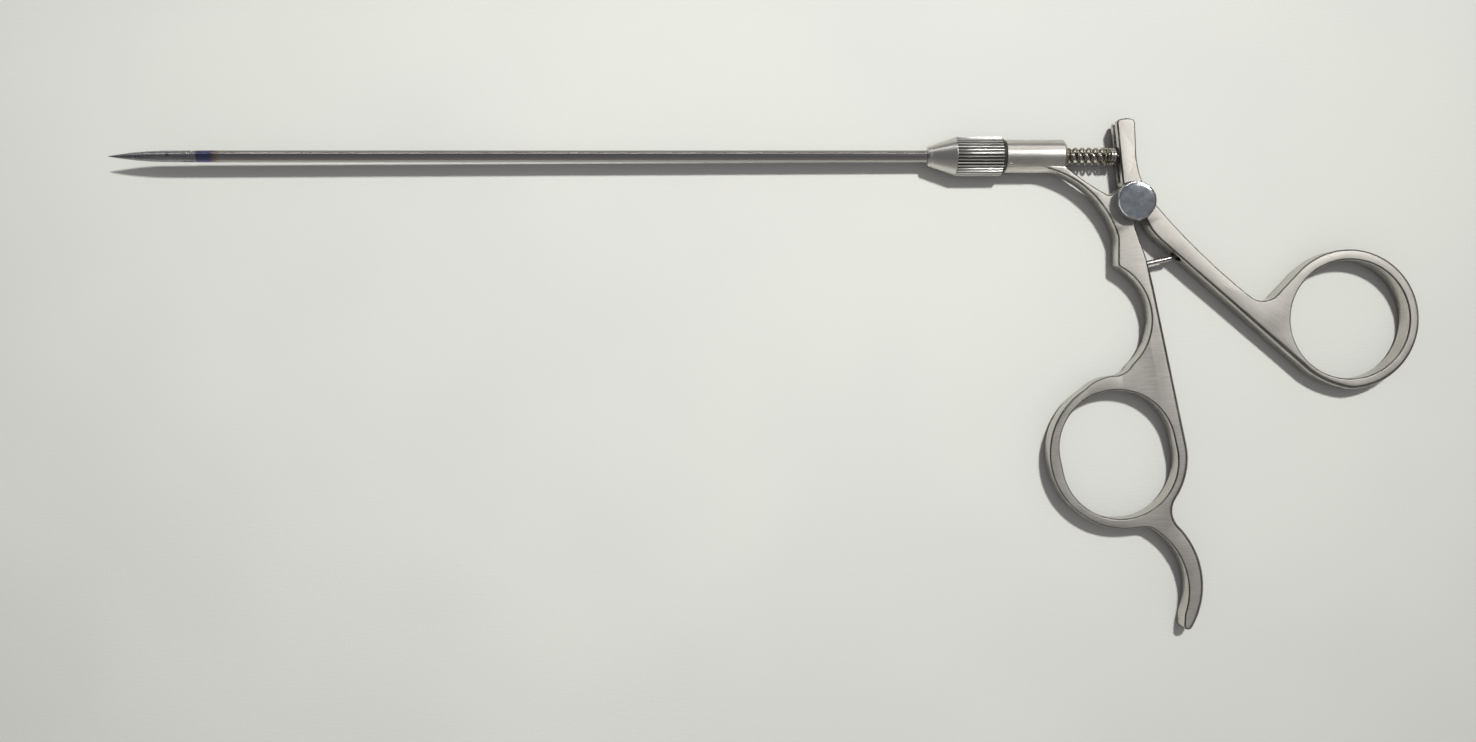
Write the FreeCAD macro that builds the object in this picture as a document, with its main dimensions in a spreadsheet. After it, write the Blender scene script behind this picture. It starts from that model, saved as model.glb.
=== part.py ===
# Laparoscopic suture passer, in millimetres.
# X runs along the shaft, from the needle tip (minus) to the finger rings (plus).
# Z is across the handle plate.
# The origin is on the shaft's axis, at the front face of the clamping nut.
import FreeCAD, Part
import math
import os
import re

import Sketcher

SIZES = {
    # shaft and outer tube
    "shaft_length": 171.6, "shaft_width": 2.8, "tube_bore": 2.0, "tube_end_gap": 0.5, "tube_end_width": 2.6,
    # needle tip and jaw
    "tip_width": 2.68, "tip_rear_width": 2.76, "ogive_length": 15.0, "tip_length": 21.4, "tip_shank": 6.0,
    "jaw_start": 8.9, "parting_height": 0.2, "jaw_gap": 0.03, "jaw_front_gap": 0.06,
    "notch_setback": 14.8, "notch_width": 0.6,
    "ear_radius": 0.65, "ear_gap": 0.06, "tip_slot": 1.1, "collar_setback": 0.8, "slot_reach": 1.3,
    "slot_overlap": 0.5, "rod_way_setback": 0.42,
    # jaw hinge and its drive
    "hinge_setback": 1.8, "hinge_height": 0.65, "drive_arm": 1.3, "jaw_half_swing": 28.0,
    "hinge_pin_width": 0.7, "drive_pin_width": 0.56, "pin_gap": 0.03,
    "lug_thickness": 0.5, "lug_radius": 0.6, "lug_end_radius": 0.51, "lug_root": 1.3, "lug_top": 1.05,
    "tongue_inset": 0.05, "tongue_end_radius": 0.45, "tongue_top": 0.15, "tongue_ramp": 0.9,
    "tongue_root": 0.4,
    # pull rod and its end piece
    "rod_width": 1.2, "rod_gap": 0.05, "rod_setback": 2.05, "rod_socket": 8.0,
    "stem_width": 2.0, "stem_front": 16.0, "flange_width": 4.0, "flange_thickness": 0.7, "flange_edge": 0.15,
    "washer_thickness": 0.6, "neck_width": 1.5, "neck_length": 2.55, "ball_width": 3.0, "ball_gap": 0.05,
    # clamping nut
    "nut_length": 17.7, "nut_width": 9.24, "nose_width": 5.1, "nose_edge": 0.6, "cone_length": 6.5,
    "cone_end_width": 8.95, "band_width": 9.1, "flute_start": 7.3, "flute_depth": 0.34, "flute_count": 36,
    "nut_rear_edge": 0.5, "nut_gap": 0.35, "nose_bore_length": 5.2, "nut_chamber": 4.7, "thread_gap": 0.05,
    # handle barrel
    "barrel_width": 7.7, "barrel_length": 14.15, "barrel_round": 0.8, "barrel_front_edge": 0.2,
    "spigot_width": 6.0, "spigot_length": 8.55, "gland_bore": 4.1, "gland_depth": 16.1, "guide_gap": 0.05,
    # pieces clamped in the barrel
    "ferrule_flange_width": 4.5, "ferrule_flange_gap": 0.1, "ferrule_width": 4.0, "ferrule_length": 4.0,
    "bush_width": 4.0, "bush_gap": 0.08, "seal_wire": 0.94, "seal_gap": 0.03,
    # handle plate
    "plate_thickness": 5.0, "neck_thickness": 6.6, "neck_taper_end": 7.78,
    "edge_round": 0.45, "handle_soft_edge": 1.2, "lever_soft_edge": 1.0, "soft_reach": 2.0,
    "root_corner": 0.6, "tight_corner": 0.9, "middle_corner": 3.0, "wide_corner": 6.0,
    "fork_corner_round": 1.0,
    "pivot_x": 47.78, "pivot_drop": 11.11, "boss_radius": 4.6, "boss_tangent": 127.3,
    "neck_start_inset": 0.4, "neck_low": 2.8, "neck_sweep_rise": 5.73, "neck_root_low": 1.4,
    "neck_top_low": 2.6, "neck_top_rise": 0.3, "neck_corner_front": 5.64, "neck_corner_up": 1.54,
    "shank_front": 3.58, "shank_shoulder": 8.19, "notch_start": 14.89,
    "rear_bend_back": 1.47, "rear_bend_drop": 8.84, "rear_run_back": 5.02, "rear_run_drop": 19.89,
    "rear_bend_rise": 0.22,
    # front finger ring and hook, from the ring's centre
    "finger_front": 3.38, "finger_drop": 58.9, "finger_hole_radius": 13.45, "finger_hole_stretch": 1.6,
    "finger_hole_tilt": 12.0, "finger_band": 2.65, "finger_shift_x": 1.5, "finger_shift_y": 0.3,
    "notch_end_x": 3.1, "notch_end_y": 21.1, "notch_rise": 6.05, "heel_x": 1.35, "heel_y": 18.4,
    "heel_rise": 0.76, "shoulder_rise": 0.65, "shoulder_angle": 122.5, "crotch_angle": 81.6,
    "hook_root_x": 7.1, "hook_root_y": 16.9, "hook_inner_x": 15.35, "hook_inner_y": 37.3,
    "hook_inner_rise": 4.1, "hook_tip_x": 15.2, "hook_tip_y": 40.0, "hook_end_x": 17.5, "hook_end_y": 40.3,
    "hook_tip_rise": 0.85, "hook_back_x": 14.7, "hook_back_y": 17.2, "hook_back_rise": 3.75,
    "waist_x": 13.5, "waist_y": 10.5, "waist_rise": 1.25, "bulge_x": 15.85, "bulge_y": 3.3, "bulge_rise": 1.5,
    # hinge between handle and lever
    "cheek_slot": 2.3, "tongue_thickness": 2.2, "hinge_tongue_radius": 3.6, "slot_floor_gap": 0.15,
    "relief_gap": 0.3, "slot_open_from": -62.0, "slot_open_to": 140.0, "slot_mouth": 4.0,
    "screw_width": 3.2, "screw_gap": 0.05, "screw_thread_width": 2.5, "screw_end_inset": 0.15,
    "knob_width": 9.04, "knob_height": 3.0, "knob_seat_gap": 0.1, "knob_edge": 0.5, "knob_dome": 0.3,
    "knob_foot_width": 7.6, "knurl_count": 60, "knurl_depth": 0.18,
    # thumb lever, fork first
    "fork_front_low": 2.46, "fork_root_up": 4.11, "fork_front_top": 3.91, "fork_side_up": 18.41,
    "fork_corner_front": 3.28, "fork_corner_up": 19.36, "fork_corner_back": 0.38, "fork_back_up": 19.51,
    "fork_back_top": 0.42, "fork_corner_rise": 0.2, "fork_top_rise": 0.22,
    "fork_back_mid": 0.67, "fork_back_mid_up": 12.61, "arm_root_back": 5.42, "arm_root_drop": 0.69,
    "arm_root_rise": 1.25, "arm_top_rise": 0.7, "valley_front_x": 23.45, "valley_front_y": 5.5,
    "valley_back_x": 16.95, "valley_back_y": 5.8, "valley_rise": 1.36,
    "thumb_back": 50.57, "thumb_drop": 27.29, "thumb_hole_radius": 13.85, "thumb_band": 2.5,
    "thumb_departure": 137.3, "thumb_arrival": 88.0, "thumb_heel_x": 9.45, "thumb_heel_y": 12.3,
    "thumb_heel_rise": 0.68, "arm_low_back": 6.22, "arm_low_drop": 8.64, "arm_crook_back": 2.87,
    "arm_crook_drop": 3.49, "arm_crook_rise": 0.4,
    "fork_tilt": 4.8, "ball_x": 46.66, "fork_slot": 1.7, "channel_floor": 6.2,
    # stop pin and its pocket
    "stop_drop": 14.19, "stop_back": 3.72, "stop_tilt": 13.0, "stop_width": 1.3, "stop_buried": 3.5,
    "stop_reach": 6.1, "stop_nose": 0.3, "pocket_width": 3.0, "pocket_depth": 2.0, "pocket_back": 10.7,
    "pocket_drop": 12.61, "pocket_tilt": 48.4, "pocket_mouth": 1.5,
    # return spring
    "spring_width": 4.1, "spring_wire": 0.6, "spring_turns": 7.5, "spring_closed_turns": 1.0,
    "spring_end_gap": 0.02,
    # how much of its pitch a flute or a knurl takes
    "groove_share": 0.8,
    # how far a cut runs past the surface that it opens
    "cut_past": 1.0, "fine_cut_past": 0.05,
}

doc = FreeCAD.newDocument("suture_passer")
sheet = doc.addObject("Spreadsheet::Sheet", "sizes")
for row, (alias, size) in enumerate(SIZES.items(), start=1):
    sheet.set(f"A{row}", alias)
    sheet.set(f"B{row}", str(size))
    sheet.setAlias(f"B{row}", alias)
doc.recompute()
VECTOR_Z = FreeCAD.Vector(0, 0, 1)
TOLERANCE = 1e-6  # for telling where an edge lies


def bound(text):
    """An expression on the sheet's cells, from one that names them plainly."""
    return re.sub(r"[a-z]\w*", lambda word: "sizes." * (word.group() in SIZES) + word.group(), str(text))


def value(text):
    return float(jig.evalExpression(bound(text)))


def polar(x, y, radius, angle):
    return f"{x} + ({radius}) * cos({angle})", f"{y} + ({radius}) * sin({angle})"


def line(x, y):
    return {"to": (x, y)}


def arc(x, y, side, radius):
    """A round stretch of a known radius that turns left or right on its way to x, y."""
    return {"to": (x, y), "side": side, "radius": radius}


def bow(x, y, side, rise):
    """A round stretch that stands off its chord by rise."""
    return {"to": (x, y), "side": side, "rise": rise}


def base_plane(body, role):
    return next(item for item in body.Origin.OriginFeatures if item.Role == role)


def add_step(sketch, start, end, step):
    """Adds one stretch of a path. Returns its index, and the positions of its start and end."""
    a, b = (FreeCAD.Vector(value(x), value(y), 0) for x, y in (start, end))
    if "side" not in step:
        return sketch.addGeometry(Part.LineSegment(a, b)), 1, 2
    chord = b - a
    rise = step.get("rise")
    if rise is None:
        radius_text = step["radius"]
    else:
        run, climb = f"({end[0]}) - ({start[0]})", f"({end[1]}) - ({start[1]})"
        radius_text = f"(({run})^2 + ({climb})^2) / (8 * {rise}) + {rise} / 2"
    radius = value(radius_text)
    hand = 1 if step["side"] == "left" else -1
    across = FreeCAD.Vector(-chord.y, chord.x, 0).normalize() * hand
    centre = (a + b) * 0.5 + across * math.sqrt(max(radius ** 2 - (chord.Length / 2) ** 2, 0))
    first, last = (a, b) if hand == 1 else (b, a)
    angles = [math.atan2(point.y - centre.y, point.x - centre.x) for point in (first, last)]
    index = sketch.addGeometry(Part.ArcOfCircle(Part.Circle(centre, VECTOR_Z, radius), *angles))
    rule = sketch.addConstraint(Sketcher.Constraint("Radius", index, radius))
    sketch.setExpression(f"Constraints[{rule}]", bound(radius_text))
    return (index, 1, 2) if hand == 1 else (index, 2, 1)


def pin_point(sketch, index, position, place):
    """Ties a point of the sketch to its place on the sheet."""
    for kind, text in zip(("DistanceX", "DistanceY"), place):
        rule = sketch.addConstraint(Sketcher.Constraint(kind, index, position, value(text)))
        sketch.setExpression(f"Constraints[{rule}]", bound(text))


def new_sketch(body, name, plane="XY_Plane", lift=None):
    sketch = body.newObject("Sketcher::SketchObject", name)
    sketch.AttachmentSupport = [(base_plane(body, plane), "")]
    sketch.MapMode = "FlatFace"
    if lift is not None:
        sketch.setExpression("AttachmentOffset.Base.z", bound(lift))
    return sketch


def draw(body, name, *loops, plane="XY_Plane", lift=None):
    """A sketch of closed paths. Each path is a start point and the steps that lead back to it."""
    sketch = new_sketch(body, name, plane, lift)
    for start, *steps in loops:
        here, joints = start, []
        for number, step in enumerate(steps):
            there = step["to"] if number < len(steps) - 1 else start
            joints.append(add_step(sketch, here, there, step))
            pin_point(sketch, joints[-1][0], joints[-1][1], here)
            here = there
        for before, after in zip([joints[-1]] + joints[:-1], joints):
            sketch.addConstraint(Sketcher.Constraint("Coincident", before[0], before[2], after[0], after[1]))
    return sketch


def draw_circles(body, name, *circles, plane="XY_Plane", lift=None):
    sketch = new_sketch(body, name, plane, lift)
    for x, y, radius in circles:
        centre = FreeCAD.Vector(value(x), value(y), 0)
        index = sketch.addGeometry(Part.Circle(centre, VECTOR_Z, value(radius)))
        pin_point(sketch, index, 3, (x, y))
        rule = sketch.addConstraint(Sketcher.Constraint("Radius", index, value(radius)))
        sketch.setExpression(f"Constraints[{rule}]", bound(radius))
    return sketch


def new_body(name, x="0", y="0", turn=None):
    body = doc.addObject("PartDesign::Body", name)
    body.Label = name
    if turn is not None:
        body.Placement = FreeCAD.Placement(FreeCAD.Vector(), FreeCAD.Rotation(VECTOR_Z, value(turn)))
        body.setExpression("Placement.Rotation.Angle", bound(turn))
    body.setExpression("Placement.Base.x", bound(x))
    body.setExpression("Placement.Base.y", bound(y))
    return body


def extrude(body, kind, name, sketch, length, both=True, outward=False):
    """A Pad or a Pocket of a sketch, to both sides of it or to one."""
    feature = body.newObject(f"PartDesign::{kind}", name)
    feature.Profile = sketch
    feature.Midplane = both
    feature.Reversed = outward
    feature.setExpression("Length", bound(length))
    doc.recompute()
    return feature


def turn_about(body, kind, name, sketch, axis="H_Axis"):
    """A Revolution or a Groove of a sketch."""
    feature = body.newObject(f"PartDesign::{kind}", name)
    feature.Profile = sketch
    feature.ReferenceAxis = (sketch, [axis])
    feature.Angle = 360
    doc.recompute()
    return feature


def bore(body, name, x, y, turn, start, end, radius):
    """A round hole in the plane of the handle, along a line that leaves x, y at an angle."""
    ahead, aside = (f"cos({turn})", f"sin({turn})"), (f"-sin({turn})", f"cos({turn})")

    def corner(along, off):
        return tuple(f"{at} + ({along}) * {ahead[i]} + ({off}) * {aside[i]}" for i, at in enumerate((x, y)))

    sketch = draw(body, f"{name}_profile",
                  [corner(start, "0"), line(*corner(end, "0")), line(*corner(end, radius)),
                   line(*corner(start, radius)), line(None, None)])
    ends = [FreeCAD.Vector(*(value(text) for text in corner(along, "0")), 0) for along in (start, end)]
    axis = sketch.addGeometry(Part.LineSegment(*ends), True)
    for position, along in ((1, start), (2, end)):
        pin_point(sketch, axis, position, corner(along, "0"))
    return turn_about(body, "Groove", name, sketch, "Axis0")


def round_rims(name, body, radius, soft_radius, *soft_places):
    """Rounds a plate's rims, more so round each soft place. The radius changes evenly on the way."""

    def radius_at(point):
        for x, y in soft_places:
            if math.dist((point.x, point.y), (value(x), value(y))) < value("soft_reach"):
                return value(soft_radius)
        return value(radius)

    rims, half = [], value(plate_top) - TOLERANCE
    for number, edge in enumerate(body.Shape.Edges, start=1):
        first, last = edge.Vertexes[0].Point, edge.Vertexes[-1].Point
        crosses_taper = all(abs(point.x - value(taper_end)) < TOLERANCE for point in (first, last))
        if min(first.z, last.z) > half or max(first.z, last.z) < -half:
            if not crosses_taper:
                rims.append((number, radius_at(first), radius_at(last)))
    fillet = doc.addObject("Part::Fillet", name)
    fillet.Base = body
    fillet.Edges = rims
    doc.recompute()
    return fillet


def body_upon(name, base):
    """A body that carries on from another object's shape."""
    body = new_body(name)
    body.BaseFeature = base
    doc.recompute()
    return body


def round_corners(body, name, feature, radius, *places):
    """Rounds the upright edges of a plate that stand at the given places."""
    upright = {}
    for number, edge in enumerate(feature.Shape.Edges, start=1):
        if len(edge.Vertexes) == 2 and abs(edge.Vertexes[0].Z - edge.Vertexes[1].Z) > 1:
            upright[f"Edge{number}"] = edge.Vertexes[0].Point
    chosen = []
    for x, y in places:
        spot = (value(x), value(y))
        chosen.append(min(upright, key=lambda edge: math.dist(upright[edge][:2], spot)))
    fillet = body.newObject("PartDesign::Fillet", name)
    fillet.Base = (feature, chosen)
    fillet.setExpression("Radius", bound(radius))
    doc.recompute()
    return fillet


def repeat_round(body, name, feature, axis, count):
    pattern = body.newObject("PartDesign::PolarPattern", name)
    pattern.Originals = [feature]
    pattern.Axis = (base_plane(body, axis), [""])
    pattern.Angle = 360
    pattern.setExpression("Occurrences", bound(count))
    body.Tip = pattern
    doc.recompute()
    return pattern


jig = sheet

# places that several pieces share
pivot_x, pivot_y = "pivot_x", "(-pivot_drop)"
tube_front = "(-shaft_length)"
tip_point = f"({tube_front} - tip_length)"
hinge_x, hinge_y = f"({tube_front} - hinge_setback)", "hinge_height"
drive_x = f"({hinge_x} + drive_arm * tan(jaw_half_swing))"
drive_y = "(hinge_height - drive_arm)"
rod_front = f"({hinge_x} + rod_setback)"
barrel_front = "(nut_length + nut_gap)"
barrel_rear = f"({barrel_front} + barrel_length)"
spigot_front = f"({barrel_front} - spigot_length)"
ferrule_rear = f"({spigot_front} + ferrule_length)"
tube_rear = f"({ferrule_rear} - tube_end_gap)"
flange_rear = "(ball_x - neck_length)"
flange_front = f"({flange_rear} - flange_thickness)"
washer_front = f"({flange_front} - washer_thickness)"
finger_x, finger_y = "(pivot_x - finger_front)", "(-pivot_drop - finger_drop)"
thumb_x, thumb_y = "(pivot_x + thumb_back)", "(-pivot_drop - thumb_drop)"
thumb_outer = "(thumb_hole_radius + thumb_band)"
relief_radius = "(boss_radius + relief_gap)"
plate_top = "plate_thickness / 2"
neck_front, neck_top = f"({barrel_front} + neck_start_inset)", "neck_thickness / 2"
taper_end = "(pivot_x - neck_taper_end)"


def from_pivot(x, y):
    return f"{pivot_x} + {x}", f"{pivot_y} + {y}"


def from_finger(x, y):
    return f"{finger_x} + {x}", f"{finger_y} + {y}"


def from_thumb(x, y):
    return f"{thumb_x} + {x}", f"{thumb_y} + {y}"


def needle_profile(body, name, rear):
    """Half of the pointed tip's section: a tangent ogive in short cones and a straight stretch behind it."""
    half = "tip_width / 2"
    curve = f"((ogive_length^2 + ({half})^2) / tip_width)"
    cones = 8
    ogive = []
    for number in range(1, cones):
        share = number / cones
        ogive.append(line(f"{tip_point} + {share} * ogive_length",
                          f"sqrt({curve}^2 - ({1 - share} * ogive_length)^2) - {curve} + {half}"))
    return draw(body, name, [
        (tip_point, "0"), *ogive, line(f"{tip_point} + ogive_length", half), line(rear, "tip_rear_width / 2"),
        line(rear, "0"), line(None, None)])


def make_needle_tip():
    body = new_body("needle_tip")
    turn_about(body, "Revolution", "tip_turned", needle_profile(body, "tip_section", tube_front))
    shank = draw(body, "shank_section", [
        (f"{tube_front} - 0.1 * tip_shank", "0"), line(f"{tube_front} + tip_shank", "0"),
        line(f"{tube_front} + tip_shank", "tube_bore / 2"),
        line(f"{tube_front} - 0.1 * tip_shank", "tube_bore / 2"), line(None, None)])
    turn_about(body, "Revolution", "shank_turned", shank)
    rod_way = draw(body, "rod_way_section", [
        (f"{hinge_x} + rod_way_setback", "0"), line(f"{tube_front} + tip_shank", "0"),
        line(f"{tube_front} + tip_shank", "rod_width / 2 + rod_gap"),
        line(f"{hinge_x} + rod_way_setback", "rod_width / 2 + rod_gap"), line(None, None)])
    turn_about(body, "Groove", "rod_way", rod_way)
    ear_foot = f"{hinge_x} - sqrt(ear_radius^2 - (hinge_height - parting_height)^2)"
    recess = draw(body, "jaw_recess_outline", [
        (f"{tip_point} + jaw_start - jaw_front_gap", "parting_height"),
        line(ear_foot, "parting_height"),
        arc(hinge_x, f"{hinge_y} + ear_radius", "right", "ear_radius"),
        arc(f"{hinge_x} + ear_radius", hinge_y, "right", "ear_radius"),
        line(f"{hinge_x} + collar_setback", hinge_y),
        line(f"{hinge_x} + collar_setback", "tip_width"),
        line(f"{tip_point} + jaw_start - jaw_front_gap", "tip_width"), line(None, None)])
    extrude(body, "Pocket", "jaw_recess", recess, "2 * tip_width")
    slot = draw(body, "lug_slot_outline", [
        (f"{hinge_x} - slot_reach", "-tip_width"), line(f"{rod_front} + slot_overlap", "-tip_width"),
        line(f"{rod_front} + slot_overlap", "tip_width"), line(f"{hinge_x} - slot_reach", "tip_width"),
        line(None, None)])
    extrude(body, "Pocket", "lug_slot", slot, "tip_slot")
    holes = draw_circles(body, "tip_holes", (hinge_x, hinge_y, "hinge_pin_width / 2"),
                         (f"{tip_point} + notch_setback", "parting_height", "notch_width / 2"))
    extrude(body, "Pocket", "tip_hole_cut", holes, "2 * tip_width")
    return body


def make_jaw():
    body = new_body("jaw")
    under = "(parting_height + jaw_gap)"
    shoulder = "(ear_radius + ear_gap)"
    turn_about(body, "Revolution", "jaw_turned", needle_profile(body, "jaw_section", hinge_x))
    lower = draw(body, "jaw_underside", [
        (f"{tip_point} - cut_past", "-tip_width"), line(f"{hinge_x} + cut_past", "-tip_width"),
        line(f"{hinge_x} + cut_past", under), line(f"{tip_point} - cut_past", under), line(None, None)])
    extrude(body, "Pocket", "jaw_split", lower, "2 * tip_width")
    front = draw(body, "jaw_front_outline", [
        (f"{tip_point} - cut_past", "-tip_width"), line(f"{tip_point} + jaw_start", "-tip_width"),
        line(f"{tip_point} + jaw_start", "tip_width"), line(f"{tip_point} - cut_past", "tip_width"),
        line(None, None)])
    extrude(body, "Pocket", "jaw_front", front, "2 * tip_width")
    rounds = draw_circles(body, "jaw_shoulder_outline", (hinge_x, hinge_y, shoulder),
                          (f"{tip_point} + notch_setback", "parting_height", "notch_width / 2"))
    extrude(body, "Pocket", "jaw_shoulder", rounds, "2 * tip_width")
    seat = f"{hinge_x} + drive_arm / cos(jaw_half_swing) * sin(jaw_half_swing)"
    seat_y = f"{hinge_y} - drive_arm"
    swing = "jaw_half_swing"
    lug = draw(body, "lug_outline", [
        (f"{hinge_x} - lug_root", under), line(f"{hinge_x} - lug_root", "lug_top"),
        line(hinge_x, f"{hinge_y} + lug_radius"),
        arc(*polar(hinge_x, hinge_y, "lug_radius", swing), "right", "lug_radius"),
        line(*polar(seat, seat_y, "lug_end_radius", swing)),
        arc(*polar(seat, seat_y, "lug_end_radius", f"{swing} - 90"), "right", "lug_end_radius"),
        arc(*polar(seat, seat_y, "lug_end_radius", f"{swing} - 180"), "right", "lug_end_radius"),
        line(*polar(hinge_x, hinge_y, "lug_radius", f"{swing} - 180")), line(None, None)])
    extrude(body, "Pad", "lug", lug, "lug_thickness", both=False, outward=True)
    hole = draw_circles(body, "lug_hole_outline", (hinge_x, hinge_y, "hinge_pin_width / 2 + pin_gap"))
    extrude(body, "Pocket", "lug_hole", hole, "2 * tip_width")
    near, far = "(drive_arm - pin_gap)", "(drive_arm / cos(jaw_half_swing) + pin_gap)"
    half = "(drive_pin_width / 2 + pin_gap)"
    way = f"({swing} - 90)"
    inner, outer = polar(hinge_x, hinge_y, near, way), polar(hinge_x, hinge_y, far, way)
    slot = draw(body, "drive_slot_outline", [
        polar(*inner, half, swing), line(*polar(*outer, half, swing)),
        arc(*polar(*outer, half, way), "right", half),
        arc(*polar(*outer, half, f"{swing} - 180"), "right", half),
        line(*polar(*inner, half, f"{swing} - 180")),
        arc(*polar(*inner, half, f"{swing} + 90"), "right", half), arc(None, None, "right", half)])
    extrude(body, "Pocket", "drive_slot", slot, "2 * tip_width")
    return body


def make_jaw_pivot_pin():
    """Its ends are ground flush with the round of the tip."""
    body = new_body("jaw_pivot_pin")
    circle = draw_circles(body, "pivot_pin_section", (hinge_x, hinge_y, "hinge_pin_width / 2"))
    extrude(body, "Pad", "pivot_pin_wire", circle, "tip_width")
    front, rear = f"{hinge_x} - hinge_pin_width", f"{hinge_x} + hinge_pin_width"
    around = draw(body, "pivot_pin_waste", [
        (front, "tip_width / 2"), line(rear, "tip_width / 2"), line(rear, "tip_width"),
        line(front, "tip_width"), line(None, None)])
    turn_about(body, "Groove", "pivot_pin_ends", around)
    return body


def make_drive_pin():
    body = new_body("drive_pin", drive_x, drive_y)
    circle = draw_circles(body, "drive_pin_section", ("0", "0", "drive_pin_width / 2"))
    extrude(body, "Pad", "drive_pin_wire", circle, "2 * lug_thickness")
    return body


def make_pull_rod():
    body = new_body("pull_rod")
    rear = "(stem_front + rod_socket)"
    section = draw(body, "rod_section", [
        (rod_front, "0"), line(rear, "0"), line(rear, "rod_width / 2"), line(rod_front, "rod_width / 2"),
        line(None, None)])
    turn_about(body, "Revolution", "rod_turned", section)
    tongue = draw(body, "rod_tongue_outline", [
        (f"{rod_front} + tongue_root", "tongue_top"), line(drive_x, f"{drive_y} + tongue_end_radius"),
        arc(f"{drive_x} - tongue_end_radius", drive_y, "left", "tongue_end_radius"),
        arc(drive_x, f"{drive_y} - tongue_end_radius", "left", "tongue_end_radius"),
        line(f"{drive_x} + tongue_ramp", "-rod_width / 2"),
        line(f"{rod_front} + tongue_root", "-rod_width / 2"),
        line(None, None)], lift="tongue_inset")
    extrude(body, "Pad", "rod_tongue", tongue, "lug_thickness - tongue_inset", both=False)
    hole = draw_circles(body, "rod_tongue_hole_outline", (drive_x, drive_y, "drive_pin_width / 2"))
    extrude(body, "Pocket", "rod_tongue_hole", hole, "2 * tip_width")
    return body


def make_turned(name, *path, axis="H_Axis", **place):
    """A round piece from half of its section."""
    body = new_body(name, **place)
    plane = "XY_Plane" if axis == "H_Axis" else "XZ_Plane"
    section = draw(body, f"{name}_section", list(path), plane=plane)
    turn_about(body, "Revolution", f"{name}_turned", section, axis)
    return body


def make_sleeve(name, front, rear, inner, outer):
    return make_turned(name, (front, inner), line(rear, inner), line(rear, outer), line(front, outer),
                       line(None, None))


def tube_radius(x):
    """The tube's outer radius behind the nut's face, where it narrows into the ferrule."""
    return f"(shaft_width / 2 - (shaft_width - tube_end_width) / 2 * ({x}) / {tube_rear})"


def make_shaft_tube():
    """The bare shaft ends at the nut's face, and its swaged end narrows from there."""
    shaft, inside = "shaft_width / 2", "tube_bore / 2"
    return make_turned("shaft_tube", (tube_front, inside), line(tube_rear, inside),
                       line(tube_rear, "tube_end_width / 2"), line("0", shaft), line(tube_front, shaft),
                       line(None, None))


def make_tube_ferrule():
    """The flanged sleeve that the nut clamps, swaged onto the tube's end."""
    flange = "ferrule_flange_width / 2"
    front = "(nose_bore_length + ferrule_flange_gap)"
    return make_turned("tube_ferrule", (front, tube_radius(front)),
                       line(ferrule_rear, tube_radius(ferrule_rear)), line(ferrule_rear, "ferrule_width / 2"),
                       line(spigot_front, "ferrule_width / 2"), line(spigot_front, flange),
                       line(front, flange), line(None, None))


def make_gland_bush():
    rear = f"({spigot_front} + gland_depth - seal_wire - 2 * seal_gap)"
    return make_sleeve("gland_bush", ferrule_rear, rear, "stem_width / 2 + bush_gap", "bush_width / 2")


def make_seal_ring():
    body = new_body("seal_ring")
    centre_x = f"{spigot_front} + gland_depth - seal_wire / 2 - seal_gap"
    circle = draw_circles(body, "seal_section", (centre_x, "stem_width / 2 + seal_gap + seal_wire / 2",
                                                 "seal_wire / 2"))
    turn_about(body, "Revolution", "seal_turned", circle)
    return body


def make_rod_end():
    stem, flange, neck, ball = "stem_width / 2", "flange_width / 2", "neck_width / 2", "ball_width / 2"
    socket = "(stem_front + rod_socket)"
    return make_turned(
        "rod_end", ("stem_front", "rod_width / 2"), line("stem_front", stem), line(flange_front, stem),
        line(flange_front, f"{flange} - flange_edge"), line(f"{flange_front} + flange_edge", flange),
        line(f"{flange_rear} - flange_edge", flange), line(flange_rear, f"{flange} - flange_edge"),
        line(flange_rear, neck), line(f"ball_x - sqrt(({ball})^2 - ({neck})^2)", neck),
        arc(f"ball_x + {ball}", "0", "right", ball), line(socket, "0"), line(socket, "rod_width / 2"),
        line(None, None))


def make_spring_washer():
    inner, outer = "stem_width / 2 + guide_gap", "flange_width / 2"
    return make_turned(
        "spring_washer", (washer_front, inner), line(flange_front, inner),
        line(flange_front, f"{outer} - flange_edge"), line(f"{flange_front} - flange_edge", outer),
        line(f"{washer_front} + flange_edge", outer),
        line(washer_front, f"{outer} - flange_edge"), line(None, None))


def make_return_spring():
    """A round wire whose pitch closes up over the first and the last turn."""
    wire, gap = value("spring_wire"), value("spring_end_gap")
    front, rear = value(barrel_rear) + wire / 2 + gap, value(washer_front) - wire / 2 - gap
    turns, closed = value("spring_turns"), value("spring_closed_turns")
    coil_radius = (value("spring_width") - wire) / 2
    closed_pitch = wire * 1.05
    open_pitch = (rear - front - 2 * closed * closed_pitch) / (turns - 2 * closed)
    steps_per_turn = 16
    points = []
    for step in range(int(turns * steps_per_turn) + 1):
        turn = step / steps_per_turn
        shut_front, shut_rear = min(turn, closed), max(0, turn - (turns - closed))
        reach = (shut_front + shut_rear) * closed_pitch + (turn - shut_front - shut_rear) * open_pitch
        angle = 2 * math.pi * turn
        y, z = coil_radius * math.cos(angle), coil_radius * math.sin(angle)
        points.append(FreeCAD.Vector(front + reach, y, z))
    curve = Part.BSplineCurve()
    curve.interpolate(points)
    spine = Part.Wire(curve.toShape())
    section = Part.Wire(Part.Circle(points[0], curve.tangent(curve.FirstParameter)[0], wire / 2).toShape())
    feature = doc.addObject("Part::Feature", "return_spring")
    feature.Label = "return_spring"
    feature.Shape = spine.makePipeShell([section], True, True)
    feature.Placement = FreeCAD.Placement()
    return feature


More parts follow.
